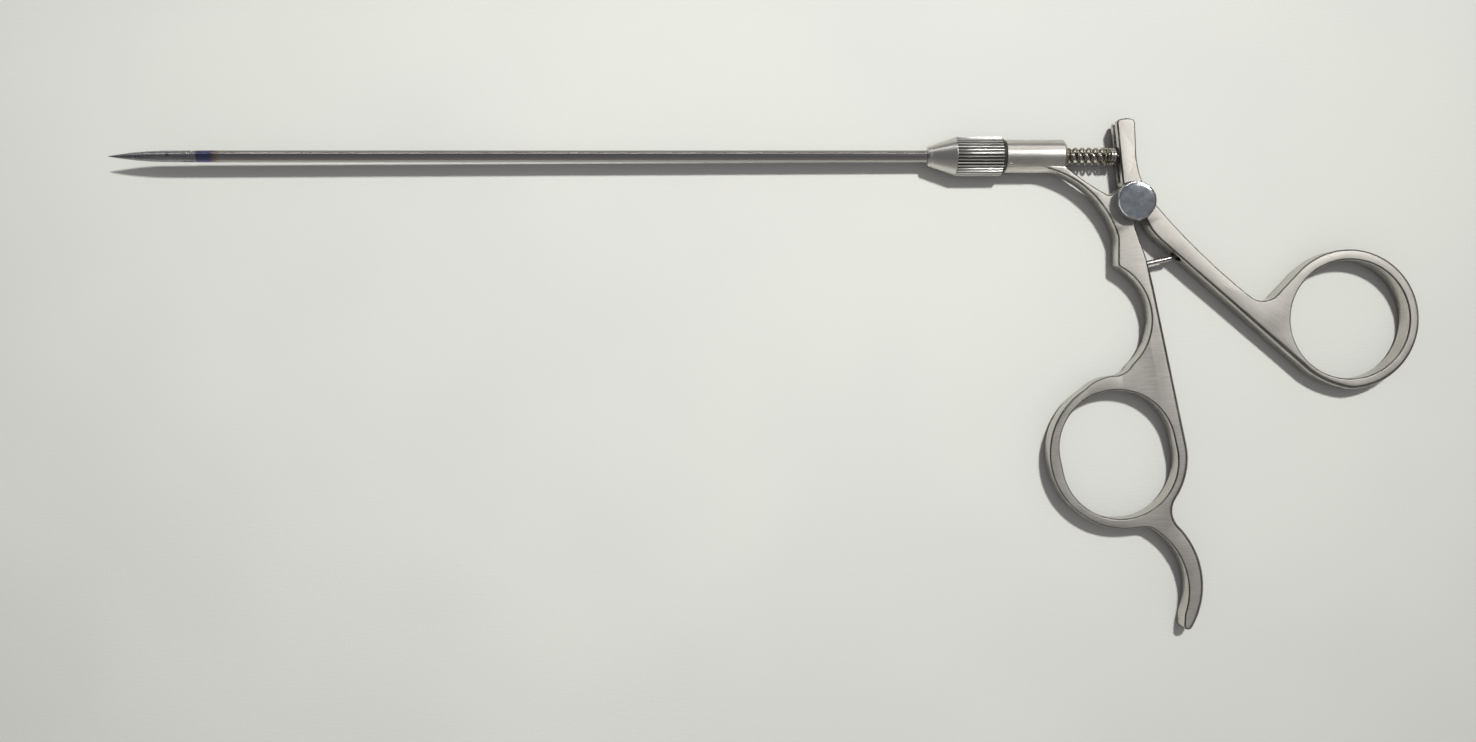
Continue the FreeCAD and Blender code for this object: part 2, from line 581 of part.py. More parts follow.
def make_collet_nut():
    nose, band, outer = "nose_width / 2", "band_width / 2", "nut_width / 2"
    tube_way = "shaft_width / 2 + pin_gap"
    chamber, thread = "nut_chamber / 2", "spigot_width / 2 + thread_gap"
    body = make_turned(
        "collet_nut", ("0", tube_way), line("0", f"{nose} - nose_edge / 2"), line("nose_edge", nose),
        line("cone_length", "cone_end_width / 2"), line("cone_length", band), line("flute_start", band),
        line("flute_start", outer), line("nut_length - nut_rear_edge", outer),
        line("nut_length", f"{outer} - nut_rear_edge"), line("nut_length", thread),
        line(f"{spigot_front} - thread_gap", thread), line(f"{spigot_front} - thread_gap", chamber),
        line("nose_bore_length", chamber), line("nose_bore_length", tube_way), line(None, None))
    half_pitch = "pi * nut_width / flute_count / 2 * groove_share"
    flute = draw(body, "flute_outline", [
        ("0", f"{outer} - flute_depth"), line(half_pitch, f"{outer} + fine_cut_past"),
        line(f"-({half_pitch})", f"{outer} + fine_cut_past"), line(None, None)],
        plane="YZ_Plane", lift="flute_start")
    cut = extrude(body, "Pocket", "flute", flute, "nut_length", both=False, outward=True)
    repeat_round(body, "flutes", cut, "X_Axis", "flute_count")
    return body


def make_handle_plate():
    """The flat part of the handle with its rims rounded. It is thickest at the front of its neck."""
    body = new_body("handle_plate")
    ring_x, ring_y = f"({finger_x} + finger_shift_x)", f"({finger_y} + finger_shift_y)"
    ring_outer = "(finger_hole_radius + finger_hole_stretch + finger_band)"
    neck_start = (neck_front, "-neck_low")
    outline = [
        neck_start,
        bow(*from_pivot("-shank_front", "-shank_shoulder"), "right", "neck_sweep_rise"),
        line(*from_pivot("-shank_front", "-notch_start")),
        bow(*from_finger("notch_end_x", "notch_end_y"), "right", "notch_rise"),
        bow(*from_finger("-heel_x", "heel_y"), "right", "heel_rise"),
        bow(*polar(ring_x, ring_y, ring_outer, "shoulder_angle"), "left", "shoulder_rise"),
        arc(*polar(ring_x, ring_y, ring_outer, "-crotch_angle"), "left", ring_outer),
        line(*from_finger("hook_root_x", "-hook_root_y")),
        bow(*from_finger("hook_inner_x", "-hook_inner_y"), "right", "hook_inner_rise"),
        line(*from_finger("hook_tip_x", "-hook_tip_y")),
        bow(*from_finger("hook_end_x", "-hook_end_y"), "left", "hook_tip_rise"),
        bow(*from_finger("hook_back_x", "-hook_back_y"), "left", "hook_back_rise"),
        bow(*from_finger("waist_x", "-waist_y"), "right", "waist_rise"),
        bow(*from_finger("bulge_x", "bulge_y"), "left", "bulge_rise"),
        line(*from_pivot("rear_run_back", "-rear_run_drop")),
        bow(*from_pivot("rear_bend_back", "-rear_bend_drop"), "left", "rear_bend_rise"),
        line(*polar(pivot_x, pivot_y, "boss_radius", "-90")),
        arc(*polar(pivot_x, pivot_y, "boss_radius", "0"), "left", "boss_radius"),
        arc(*polar(pivot_x, pivot_y, "boss_radius", "boss_tangent"), "left", "boss_radius"),
        line(*from_pivot("-neck_corner_front", "neck_corner_up")),
        bow(f"{barrel_rear} - neck_start_inset", "-neck_top_low", "right", "neck_top_rise"),
        line(f"{barrel_rear} - 2 * neck_start_inset", "-neck_root_low"),
        line(neck_front, "-neck_root_low"), line(None, None)]
    along, across = "(finger_hole_tilt + 90)", "finger_hole_tilt"
    upper = polar(finger_x, finger_y, "finger_hole_stretch", along)
    lower = polar(finger_x, finger_y, "-finger_hole_stretch", along)
    hole = "finger_hole_radius"
    ring_hole = [
        polar(*lower, hole, across), line(*polar(*upper, hole, across)),
        arc(*polar(*upper, hole, along), "left", hole), arc(*polar(*upper, f"-{hole}", across), "left", hole),
        line(*polar(*lower, f"-{hole}", across)),
        arc(*polar(*lower, f"-{hole}", along), "left", hole), arc(None, None, "left", hole)]
    plate = extrude(body, "Pad", "plate", draw(body, "plate_outline", outline, ring_hole), "neck_thickness")
    plate = round_corners(
        body, "root_corners", plate, "root_corner", neck_start, (neck_front, "-neck_root_low"),
        (f"{barrel_rear} - 2 * neck_start_inset", "-neck_root_low"))
    plate = round_corners(
        body, "tight_corners", plate, "tight_corner", from_finger("hook_tip_x", "-hook_tip_y"),
        from_pivot("-neck_corner_front", "neck_corner_up"), polar(pivot_x, pivot_y, "boss_radius", "-90"),
        from_pivot("-shank_front", "-notch_start"))
    plate = round_corners(
        body, "middle_corners", plate, "middle_corner",
        (f"{barrel_rear} - neck_start_inset", "-neck_top_low"),
        from_pivot("-shank_front", "-shank_shoulder"), from_finger("notch_end_x", "notch_end_y"),
        from_finger("hook_root_x", "-hook_root_y"), from_finger("hook_inner_x", "-hook_inner_y"))
    plate = round_corners(
        body, "wide_corners", plate, "wide_corner", from_finger("-heel_x", "heel_y"),
        polar(ring_x, ring_y, ring_outer, "shoulder_angle"), from_finger("hook_back_x", "-hook_back_y"))
    behind = f"({pivot_x} + finger_drop)"
    drop = f"({neck_top} - {plate_top})"
    taper_radius = f"(({taper_end} - {neck_front})^2 / (2 * {drop}) + {drop} / 2)"
    waste = [[(neck_front, f"{sign}{neck_top}"), arc(taper_end, f"{sign}{plate_top}", side, taper_radius),
              line(behind, f"{sign}{plate_top}"), line(behind, f"{sign}neck_thickness"),
              line(neck_front, f"{sign}neck_thickness"), line(None, None)]
             for sign, side in (("", "left"), ("-", "right"))]
    thinned = draw(body, "taper_profile", *waste, plane="XZ_Plane")
    extrude(body, "Pocket", "taper", thinned, "2 * (pivot_drop + finger_drop + hook_end_y + cut_past)")
    below, bottom = f"(2 * {pivot_y})", f"({finger_y} - finger_drop)"
    faces = [[(below, f"{sign}{plate_top}"), line(bottom, f"{sign}{plate_top}"),
              line(bottom, f"{sign}neck_thickness"), line(below, f"{sign}neck_thickness"), line(None, None)]
             for sign in ("", "-")]
    levelled = draw(body, "ring_face_profile", *faces, plane="YZ_Plane")
    extrude(body, "Pocket", "ring_faces", levelled, f"2 * {behind}")
    hook_back = from_finger("hook_back_x", "-hook_back_y")
    return round_rims("handle_rims", body, "edge_round", "handle_soft_edge", hook_back,
                      from_finger("bulge_x", "bulge_y"), from_finger("waist_x", "-waist_y"))


def make_front_handle():
    body = body_upon("front_handle", make_handle_plate())
    barrel, spigot = "barrel_width / 2", "spigot_width / 2"
    barrel_section = draw(body, "barrel_section", [
        (spigot_front, "0"), line(spigot_front, spigot), line(barrel_front, spigot),
        line(barrel_front, f"{barrel} - barrel_front_edge"),
        line(f"{barrel_front} + barrel_front_edge", barrel),
        line(f"{barrel_rear} - barrel_round", barrel),
        arc(barrel_rear, f"{barrel} - barrel_round", "right", "barrel_round"), line(barrel_rear, "0"),
        line(None, None)])
    turn_about(body, "Revolution", "barrel", barrel_section)
    gland_rear, guide = f"({spigot_front} + gland_depth)", "stem_width / 2 + guide_gap"
    bore_section = draw(body, "bore_section", [
        (f"{spigot_front} - cut_past", "0"), line(f"{barrel_rear} + cut_past", "0"),
        line(f"{barrel_rear} + cut_past", guide),
        line(gland_rear, guide), line(gland_rear, "gland_bore / 2"),
        line(f"{spigot_front} - cut_past", "gland_bore / 2"),
        line(None, None)])
    turn_about(body, "Groove", "barrel_bore", bore_section)
    floor_radius = "(hinge_tongue_radius + slot_floor_gap)"
    mouth, slot_middle = "(boss_radius + slot_mouth)", "((slot_open_from + slot_open_to) / 2)"
    slot = draw(body, "clevis_slot_outline", [
        polar(pivot_x, pivot_y, floor_radius, "slot_open_to"),
        arc(*polar(pivot_x, pivot_y, floor_radius, f"({slot_middle} + 180)"), "left", floor_radius),
        arc(*polar(pivot_x, pivot_y, floor_radius, "slot_open_from"), "left", floor_radius),
        line(*polar(pivot_x, pivot_y, mouth, "slot_open_from")),
        arc(*polar(pivot_x, pivot_y, mouth, slot_middle), "left", mouth),
        arc(*polar(pivot_x, pivot_y, mouth, "slot_open_to"), "left", mouth), line(None, None)])
    extrude(body, "Pocket", "clevis_slot", slot, "cheek_slot")
    screw_way = draw_circles(body, "screw_way_outline", (pivot_x, pivot_y, "screw_width / 2 + screw_gap"))
    extrude(body, "Pocket", "screw_way", screw_way, "plate_thickness", both=False, outward=True)
    thread_hole = (pivot_x, pivot_y, "screw_thread_width / 2 + screw_gap")
    thread_way = draw_circles(body, "thread_way_outline", thread_hole)
    extrude(body, "Pocket", "thread_way", thread_way, "plate_thickness", both=False)
    bore(body, "stop_hole", *from_pivot("stop_back", "-stop_drop"), "stop_tilt", "-stop_buried", "stop_reach",
         "stop_width / 2")
    return body


def make_lever_plate():
    body = new_body("lever_plate")
    outline = [
        from_pivot("-fork_front_low", "fork_root_up"),
        line(*from_pivot("-fork_front_top", "fork_side_up")),
        bow(*from_pivot("-fork_corner_front", "fork_corner_up"), "right", "fork_corner_rise"),
        bow(*from_pivot("-fork_corner_back", "fork_back_up"), "right", "fork_top_rise"),
        bow(*from_pivot("fork_back_top", "fork_side_up"), "right", "fork_corner_rise"),
        line(*from_pivot("fork_back_mid", "fork_back_mid_up")),
        bow(*from_pivot("arm_root_back", "-arm_root_drop"), "left", "arm_root_rise"),
        bow(*from_thumb("-valley_front_x", "valley_front_y"), "left", "arm_top_rise"),
        bow(*from_thumb("-valley_back_x", "valley_back_y"), "left", "valley_rise"),
        line(*polar(thumb_x, thumb_y, thumb_outer, "thumb_departure")),
        arc(*polar(thumb_x, thumb_y, thumb_outer, "0"), "right", thumb_outer),
        arc(*polar(thumb_x, thumb_y, thumb_outer, "-thumb_arrival"), "right", thumb_outer),
        bow(*from_thumb("-thumb_heel_x", "-thumb_heel_y"), "right", "thumb_heel_rise"),
        line(*from_pivot("arm_low_back", "-arm_low_drop")),
        bow(*from_pivot("arm_crook_back", "-arm_crook_drop"), "right", "arm_crook_rise"), line(None, None)]
    hole = "thumb_hole_radius"
    ring_hole = [
        polar(thumb_x, thumb_y, hole, "0"), arc(*polar(thumb_x, thumb_y, hole, "120"), "left", hole),
        arc(*polar(thumb_x, thumb_y, hole, "240"), "left", hole), arc(None, None, "left", hole)]
    profile = draw(body, "lever_outline", outline, ring_hole)
    plate = extrude(body, "Pad", "lever_slab", profile, "plate_thickness")
    plate = round_corners(body, "fork_corner", plate, "fork_corner_round",
                          from_pivot("-fork_corner_back", "fork_back_up"))
    plate = round_corners(
        body, "crook_corners", plate, "middle_corner", from_pivot("-fork_front_low", "fork_root_up"),
        from_pivot("arm_crook_back", "-arm_crook_drop"))
    arrival = polar(thumb_x, thumb_y, thumb_outer, "-thumb_arrival")
    round_corners(body, "arrival_corner", plate, "wide_corner", arrival)
    ring_side = polar(thumb_x, thumb_y, thumb_outer, "0")
    return round_rims("lever_rims", body, "edge_round", "lever_soft_edge", ring_side, arrival)


def make_thumb_lever():
    body = body_upon("thumb_lever", make_lever_plate())
    faces = (("upper", "tongue_thickness / 2", True), ("lower", "-tongue_thickness / 2", False))
    for side, lift, outward in faces:
        relief = draw_circles(body, f"{side}_relief_outline", (pivot_x, pivot_y, relief_radius), lift=lift)
        extrude(body, "Pocket", f"{side}_relief", relief, "plate_thickness", both=False, outward=outward)
    disc = draw_circles(body, "tongue_outline", (pivot_x, pivot_y, "hinge_tongue_radius"))
    extrude(body, "Pad", "hinge_tongue", disc, "tongue_thickness")
    hole_sketch = draw_circles(body, "tongue_hole_outline", (pivot_x, pivot_y, "screw_width / 2 + screw_gap"))
    extrude(body, "Pocket", "tongue_hole", hole_sketch, "plate_thickness")
    way = "(fork_tilt + 90)"
    bore(body, "ball_channel", "ball_x", "0", way, "-channel_floor", "2 * channel_floor",
         "ball_width / 2 + ball_gap")
    front = "-ball_width"
    slot = draw(body, "fork_slot_outline", [
        polar("ball_x", "0", "-channel_floor", way), line(*polar("ball_x", "0", "2 * channel_floor", way)),
        line(*polar(*polar("ball_x", "0", "2 * channel_floor", way), front, "fork_tilt")),
        line(*polar(*polar("ball_x", "0", "-channel_floor", way), front, "fork_tilt")), line(None, None)])
    extrude(body, "Pocket", "fork_slot", slot, "fork_slot")
    bore(body, "stop_pocket", *from_pivot("pocket_back", "-pocket_drop"), "pocket_tilt", "-pocket_mouth",
         "pocket_depth", "pocket_width / 2")
    return body


def make_pivot_screw():
    shoulder, thread = "screw_width / 2", "screw_thread_width / 2"
    knob, foot = "knob_width / 2", "knob_foot_width / 2"
    seat = f"({plate_top} + knob_seat_gap)"
    top = f"({seat} + knob_height)"
    step = "(-cheek_slot / 2)"
    body = make_turned(
        "pivot_screw", ("0", f"-{plate_top} + screw_end_inset"),
        line(thread, f"-{plate_top} + screw_end_inset"), line(thread, step),
        line(shoulder, step), line(shoulder, seat), line(foot, seat),
        line(knob, f"{seat} + knob_edge"), line(knob, f"{top} - knob_edge"),
        arc(f"{knob} - knob_edge", top, "left", "knob_edge"),
        arc("0", f"{top} + knob_dome", "left", f"(({knob} - knob_edge)^2 + knob_dome^2) / (2 * knob_dome)"),
        line(None, None),
        axis="V_Axis", x=pivot_x, y=pivot_y)
    half_pitch = "pi * knob_width / knurl_count / 2 * groove_share"
    notch = draw(body, "knurl_outline", [
        (f"{knob} - knurl_depth", "0"), line(f"{knob} + fine_cut_past", f"-({half_pitch})"),
        line(f"{knob} + fine_cut_past", half_pitch), line(None, None)], lift=seat)
    cut = extrude(body, "Pocket", "knurl_notch", notch, "2 * knob_height", both=False, outward=True)
    repeat_round(body, "knurl", cut, "Z_Axis", "knurl_count")
    return body


def make_stop_pin():
    half = "stop_width / 2"
    return make_turned(
        "stop_pin", ("-stop_buried", "0"), line("-stop_buried", half), line("stop_reach - stop_nose", half),
        arc("stop_reach", f"{half} - stop_nose", "right", "stop_nose"), line("stop_reach", "0"),
        line(None, None),
        x=f"{pivot_x} + stop_back", y=f"{pivot_y} - stop_drop", turn="stop_tilt")


pieces = [
    make_needle_tip(),
    make_jaw(),
    make_jaw_pivot_pin(),
    make_drive_pin(),
    make_shaft_tube(),
    make_pull_rod(),
    make_tube_ferrule(),
    make_gland_bush(),
    make_seal_ring(),
    make_collet_nut(),
    make_front_handle(),
    make_rod_end(),
    make_spring_washer(),
    make_return_spring(),
    make_thumb_lever(),
    make_pivot_screw(),
    make_stop_pin(),
]
doc.recompute()

for item in doc.Objects:
    if {"Invalid", "Error"} & set(item.State):
        raise RuntimeError(f"{item.Name} failed: {item.State}")
os.makedirs("parts", exist_ok=True)
for piece in pieces:
    shape = piece.Shape
    if shape.isNull() or not shape.isValid() or not shape.Solids:
        raise RuntimeError(f"{piece.Label} has no valid solid")
    shape.exportStep(f"parts/{piece.Label}.step")
    print(f"{piece.Label}: {len(shape.Solids)} solid, {shape.Volume:.3f} mm3")
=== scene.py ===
import math

import bmesh
import bpy
from mathutils import Matrix, Vector


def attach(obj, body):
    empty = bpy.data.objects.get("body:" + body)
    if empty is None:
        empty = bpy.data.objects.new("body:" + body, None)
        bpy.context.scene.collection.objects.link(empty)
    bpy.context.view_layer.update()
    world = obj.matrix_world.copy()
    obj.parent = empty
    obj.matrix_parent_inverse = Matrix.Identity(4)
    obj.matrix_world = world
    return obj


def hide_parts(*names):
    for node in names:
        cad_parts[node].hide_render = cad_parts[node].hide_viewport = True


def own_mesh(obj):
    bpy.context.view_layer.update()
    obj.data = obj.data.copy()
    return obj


mm = 0.001

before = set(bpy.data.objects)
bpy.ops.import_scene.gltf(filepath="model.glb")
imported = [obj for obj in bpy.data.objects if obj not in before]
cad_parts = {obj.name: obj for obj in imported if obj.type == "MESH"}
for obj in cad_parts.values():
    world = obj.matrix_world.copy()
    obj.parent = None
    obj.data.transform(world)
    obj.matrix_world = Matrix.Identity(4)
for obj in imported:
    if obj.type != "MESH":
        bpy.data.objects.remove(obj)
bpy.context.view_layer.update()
scene = bpy.context.scene
scene.view_settings.view_transform = "Standard"
scene.cycles.caustics_reflective = False

# node helpers


def hexColour(code):
    parts = [int(code[i:i + 2], 16) / 255 for i in (1, 3, 5)]
    return [p / 12.92 if p <= 0.04045 else ((p + 0.055) / 1.055) ** 2.4 for p in parts] + [1.0]


def grey(level):
    return [level] * 3 + [1]


def feed(tree, node, **inputs):
    # sets or links sockets by name (spaces as underscores), or by number as in0, in1 and so on
    for key, value in inputs.items():
        name = key.replace("_", " ")
        numbered = name.startswith("in") and name[2:].isdigit()
        socket = node.inputs[int(name[2:]) if numbered else name]
        if isinstance(value, bpy.types.NodeSocket):
            tree.links.new(value, socket)
        else:
            socket.default_value = value


def addNode(tree, kind, settings=None, **inputs):
    # settings are the node's own properties, inputs are fed to its sockets
    node = tree.nodes.new(kind)
    for key, value in (settings or {}).items():
        setattr(node, key, value)
    feed(tree, node, **inputs)
    return node


def maths(tree, operation, *values):
    inputs = {f"in{number}": value for number, value in enumerate(values)}
    return addNode(tree, "ShaderNodeMath", {"operation": operation}, **inputs).outputs[0]


def blendValues(tree, first, second, share):
    # a share of the first value, and the rest from the second
    rest = maths(tree, "MULTIPLY", second, 1 - share)
    return maths(tree, "MULTIPLY_ADD", first, share, rest)


def mixValues(tree, share, first, second):
    return addNode(tree, "ShaderNodeMix", in0=share, in2=first, in3=second).outputs[0]


def mixColours(tree, share, first, second, blend="MIX"):
    settings = {"data_type": "RGBA", "blend_type": blend}
    return addNode(tree, "ShaderNodeMix", settings, in0=share, in6=first, in7=second).outputs[2]


def addRamp(tree, value, *stops):
    # stops are (place, colour) pairs
    node = addNode(tree, "ShaderNodeValToRGB", Fac=value)
    ramp = node.color_ramp
    while len(ramp.elements) < len(stops):
        ramp.elements.new(0.5)
    for element, (place, colour) in zip(ramp.elements, stops):
        element.position = place
        element.color = colour
    return node.outputs["Color"]


def mapRange(tree, value, fromRange, toRange, easing="LINEAR"):
    node = addNode(tree, "ShaderNodeMapRange", {"interpolation_type": easing}, Value=value,
                   From_Min=fromRange[0], From_Max=fromRange[1],
                   To_Min=toRange[0], To_Max=toRange[1])
    return node.outputs["Result"]


def objectPlace(tree):
    return addNode(tree, "ShaderNodeTexCoord").outputs["Object"]


def splitAxes(tree, vector):
    return addNode(tree, "ShaderNodeSeparateXYZ", Vector=vector).outputs


def axisRadius(tree, axes):
    # distance from the shaft's axis
    across = addNode(tree, "ShaderNodeCombineXYZ", Y=axes["Y"], Z=axes["Z"])
    length = addNode(tree, "ShaderNodeVectorMath", {"operation": "LENGTH"}, in0=across.outputs[0])
    return length.outputs["Value"]


def grainNoise(tree, place, size, detail, roughness=0.5, turn=0.0):
    # noise whose grains have this size along each axis, turned about Z by degrees
    spot = addNode(tree, "ShaderNodeMapping", {"vector_type": "TEXTURE"}, Vector=place,
                   Rotation=(0, 0, math.radians(turn)), Scale=size)
    noise = addNode(tree, "ShaderNodeTexNoise", Vector=spot.outputs[0], Scale=1.0, Detail=detail,
                    Roughness=roughness)
    return noise.outputs["Fac"]


def addBump(tree, height, strength, distance):
    node = addNode(tree, "ShaderNodeBump", Height=height, Strength=strength, Distance=distance)
    return node.outputs["Normal"]


def newMaterial(name):
    material = bpy.data.materials.new(name)
    material.use_nodes = True
    tree = material.node_tree
    return material, tree, tree.nodes["Principled BSDF"]


# materials
noiseRange = (0.3, 0.7)  # nearly all values of a noise lie between these

# stops and ranges over "upright" go from 0 on a side wall to 1 on a flat face
satinLook = {
    "colours": ((0.36, "#AFABA5"), (0.52, "#C6C3BC"), (0.68, "#D5D2CD")),
    "lineLength": 5.0 * mm, "lineWidth": 0.16 * mm, "lineDepth": 0.64 * mm, "lineShare": 0.55,
    "cloudSize": 9.0 * mm, "bump": 0.010 * mm, "bumpStrength": 0.55,
    "faceRoughness": (0.43, 0.58), "buffedRoughness": 0.26, "buffedToFace": (0.75, 0.95),
    # the rim tones are painted shade on rims and side walls, darkest where the face tilts away
    # from upright
    "rimShadeTones": ((0.3, 1.0), (0.5, 0.42), (0.94, 0.42), (0.988, 1.0)),
    "turnedRoughness": 0.38, "turnedTone": 1.12}


def makeSatinSteel(name, lineAngle, turnedRadius=0.0):
    # stainless steel, blasted and then brushed by hand: a grey sheen with fine broken lines
    material, tree, shader = newMaterial(name)
    look = satinLook
    place = objectPlace(tree)
    lineSize = (look["lineLength"], look["lineWidth"], look["lineDepth"])
    lines = grainNoise(tree, place, lineSize, detail=3.0, roughness=0.65, turn=lineAngle)
    clouds = addNode(tree, "ShaderNodeTexNoise", Vector=place, Scale=1 / look["cloudSize"],
                     Detail=4.0, Roughness=0.6).outputs["Fac"]
    blend = blendValues(tree, lines, clouds, look["lineShare"])
    colour = addRamp(tree, blend, *((at, hexColour(code)) for at, code in look["colours"]))
    # faces are blasted, but rims and side walls are buffed on a wheel
    normal = addNode(tree, "ShaderNodeTexCoord").outputs["Normal"]
    upright = maths(tree, "ABSOLUTE", splitAxes(tree, normal)["Z"])
    rough = mapRange(tree, blend, noiseRange, look["faceRoughness"])
    finish = mapRange(tree, upright, look["buffedToFace"], (look["buffedRoughness"], rough))
    # painted shade darkens the rims and side walls, and the barrel round the shaft's axis is
    # turned, not blasted
    rimShade = addRamp(tree, upright, *((at, grey(level)) for at, level in look["rimShadeTones"]))
    radius = axisRadius(tree, splitAxes(tree, place))
    turnedPart = maths(tree, "LESS_THAN", radius, turnedRadius)
    toneAndRimShade = mixColours(tree, turnedPart, rimShade, grey(look["turnedTone"]))
    feed(tree, shader, Base_Color=mixColours(tree, 1.0, colour, toneAndRimShade, "MULTIPLY"),
         Roughness=mixValues(tree, turnedPart, finish, look["turnedRoughness"]),
         Normal=addBump(tree, lines, look["bumpStrength"], look["bump"]), Metallic=1.0)
    return material


tubeLook = {
    "base": "#B2AEAB", "scuff": "#E2E0DE", "lineLength": 14.0 * mm, "lineWidth": 0.15 * mm,
    "roughness": (0.14, 0.24), "tint": "#6C6C93", "straw": "#A08F80",
    "tintRange": (-171.6 * mm, -165.5 * mm), "tintTo": 0.55, "strawAt": 0.8}


def makeDrawnTube():
    # drawn stainless tube, polished lengthwise, with a blue heat tint where the tip is welded in
    material, tree, shader = newMaterial("drawnStainlessTube")
    look = tubeLook
    place = objectPlace(tree)
    lineSize = (look["lineLength"], look["lineWidth"], look["lineWidth"])
    lines = grainNoise(tree, place, lineSize, detail=2.0)
    along = splitAxes(tree, place)["X"]
    cooled = mapRange(tree, along, look["tintRange"], (0.0, 1.0), "SMOOTHSTEP")
    heat = addRamp(tree, cooled, (0.0, hexColour(look["tint"])),
                   (look["tintTo"], hexColour(look["tint"])),
                   (look["strawAt"], hexColour(look["straw"])), (1.0, hexColour(look["base"])))
    feed(tree, shader,
         Base_Color=mixColours(tree, lines, heat, hexColour(look["scuff"]), "MULTIPLY"),
         Roughness=mapRange(tree, lines, noiseRange, look["roughness"]), Metallic=1.0)
    return material


# where the grain is low, up to dimTo, the colour is dimmed by its factor
dimTo, fullFrom = 0.38, 0.6
polishedLooks = {
    "turnedStainlessKnob": {"base": "#E6EAEE", "dimming": 0.78, "roughness": (0.080625, 0.105),
                            "grain": 1.8 * mm, "relief": 0.0005 * mm},
    "polishedStainlessRod": {"base": "#BDB9B4", "dimming": 0.93, "roughness": (0.19, 0.32),
                             "grain": 0.3 * mm, "relief": 0.001 * mm},
    "springWire": {"base": "#B0A795", "dimming": 0.82, "roughness": (0.19, 0.32),
                   "grain": 0.4 * mm, "relief": 0.006 * mm}}


def makePolishedSteel(name):
    # turned and polished stainless: an even grain that shows as a soft change of tone and gloss
    material, tree, shader = newMaterial(name)
    look = polishedLooks[name]
    size = [look["grain"]] * 3
    grain = grainNoise(tree, objectPlace(tree), size, detail=3.0, roughness=0.6)
    base = hexColour(look["base"])
    dim = [channel * look["dimming"] for channel in base[:3]] + [1]
    feed(tree, shader, Base_Color=addRamp(tree, grain, (dimTo, dim), (fullFrom, base)),
         Roughness=mapRange(tree, grain, noiseRange, look["roughness"]),
         Normal=addBump(tree, grain, strength=0.4, distance=look["relief"]), Metallic=1.0)
    return material


nutLook = {
    # the groove colour is painted shade in the grooves and at the rear end, the crest colour a
    # painted highlight
    "base": "#CFCCC7", "grooveShade": "#5B5855", "crestHighlight": "#F3F1EC", "grooveTo": 0.1, "crestFrom": 0.9,
    "roughness": 0.34, "endRoughness": 0.6, "flutesFrom": 6.55 * mm, "shadedEndFrom": 17.25 * mm,
    "grooveToCrest": (4.28 * mm, 4.54 * mm)}


def makeFlutedSteel():
    # turned nut: the flutes' crests carry a painted highlight, and their grooves and the rear end
    # carry painted shade
    material, tree, shader = newMaterial("turnedStainlessNut")
    look = nutLook
    axes = splitAxes(tree, objectPlace(tree))
    height = mapRange(tree, axisRadius(tree, axes), look["grooveToCrest"], (0.0, 1.0))
    paintedLightAndShade = addRamp(tree, height, (look["grooveTo"], hexColour(look["grooveShade"])),
                   (look["crestFrom"], hexColour(look["crestHighlight"])))
    fluted = maths(tree, "GREATER_THAN", axes["X"], look["flutesFrom"])
    # past the end mark the rear end is painted shade
    shadedEnd = maths(tree, "GREATER_THAN", axes["X"], look["shadedEndFrom"])
    colour = mixColours(tree, fluted, hexColour(look["base"]), paintedLightAndShade)
    feed(tree, shader, Base_Color=mixColours(tree, shadedEnd, colour, hexColour(look["grooveShade"])),
         Roughness=mixValues(tree, shadedEnd, look["roughness"], look["endRoughness"]), Metallic=1.0)
    return material


groundLook = {
    "colours": ((0.36, "#7C7C7E"), (0.5, "#9B9B9D"), (0.66, "#B5B5B6")), "roughness": (0.24, 0.4),
    "ringMarks": (0.12 * mm, 2.5 * mm, 2.5 * mm), "longMarks": (3.5 * mm, 0.16 * mm, 0.16 * mm),
    "ringShare": 0.4, "bump": 0.008 * mm, "bumpStrength": 0.5}


def makeGroundSteel():
    # needle point ground on a fine wheel: darker, with scratches round it and some lengthwise
    material, tree, shader = newMaterial("groundNeedleSteel")
    look = groundLook
    place = objectPlace(tree)
    ringMarks = grainNoise(tree, place, look["ringMarks"], detail=3.0)
    longMarks = grainNoise(tree, place, look["longMarks"], detail=3.0)
    marks = blendValues(tree, ringMarks, longMarks, look["ringShare"])
    colour = addRamp(tree, marks, *((at, hexColour(code)) for at, code in look["colours"]))
    feed(tree, shader, Base_Color=colour,
         Roughness=mapRange(tree, marks, noiseRange, look["roughness"]),
         Normal=addBump(tree, marks, look["bumpStrength"], look["bump"]), Metallic=1.0)
    return material


def makePlain(name, base, dark, roughness, grain):
    # moulded rubber and turned plastic: even colour with a faint mottle
    darkTo, baseFrom = 0.35, 0.65
    material, tree, shader = newMaterial(name)
    mottle = addNode(tree, "ShaderNodeTexNoise", Vector=objectPlace(tree), Scale=1 / grain,
                     Detail=4.0).outputs["Fac"]
    colour = addRamp(tree, mottle, (darkTo, hexColour(dark)), (baseFrom, hexColour(base)))
    feed(tree, shader, Base_Color=colour, Roughness=roughness)
    return material


handleSteel = makeSatinSteel("brushedStainlessHandle", lineAngle=4, turnedRadius=4.1 * mm)
leverSteel = makeSatinSteel("brushedStainlessLever", lineAngle=-40)
nutSteel = makeFlutedSteel()
knobSteel = makePolishedSteel("turnedStainlessKnob")
rodSteel = makePolishedSteel("polishedStainlessRod")
springSteel = makePolishedSteel("springWire")
tubeSteel = makeDrawnTube()
tipSteel = makeGroundSteel()
sealRubber = makePlain("blackNitrileRubber", "#1D1D1F", "#151516", roughness=0.55, grain=0.6 * mm)
bushPlastic = makePlain("whiteAcetal", "#E4E2DC", "#D9D6CF", roughness=0.35, grain=1.5 * mm)
print("materials made")

# helpers for pieces


def finishMesh(piece, material, smoothAngle):
    piece.data.materials.clear()
    piece.data.materials.append(material)
    for polygon in piece.data.polygons:
        polygon.material_index = 0
    piece.data.shade_smooth()
    piece.data.set_sharp_from_angle(angle=math.radians(smoothAngle))


def pieceFrom(work, name):
    mesh = bpy.data.meshes.new(name)
    work.to_mesh(mesh)
    work.free()
    piece = bpy.data.objects.new(name, mesh)
    scene.collection.objects.link(piece)
    return piece


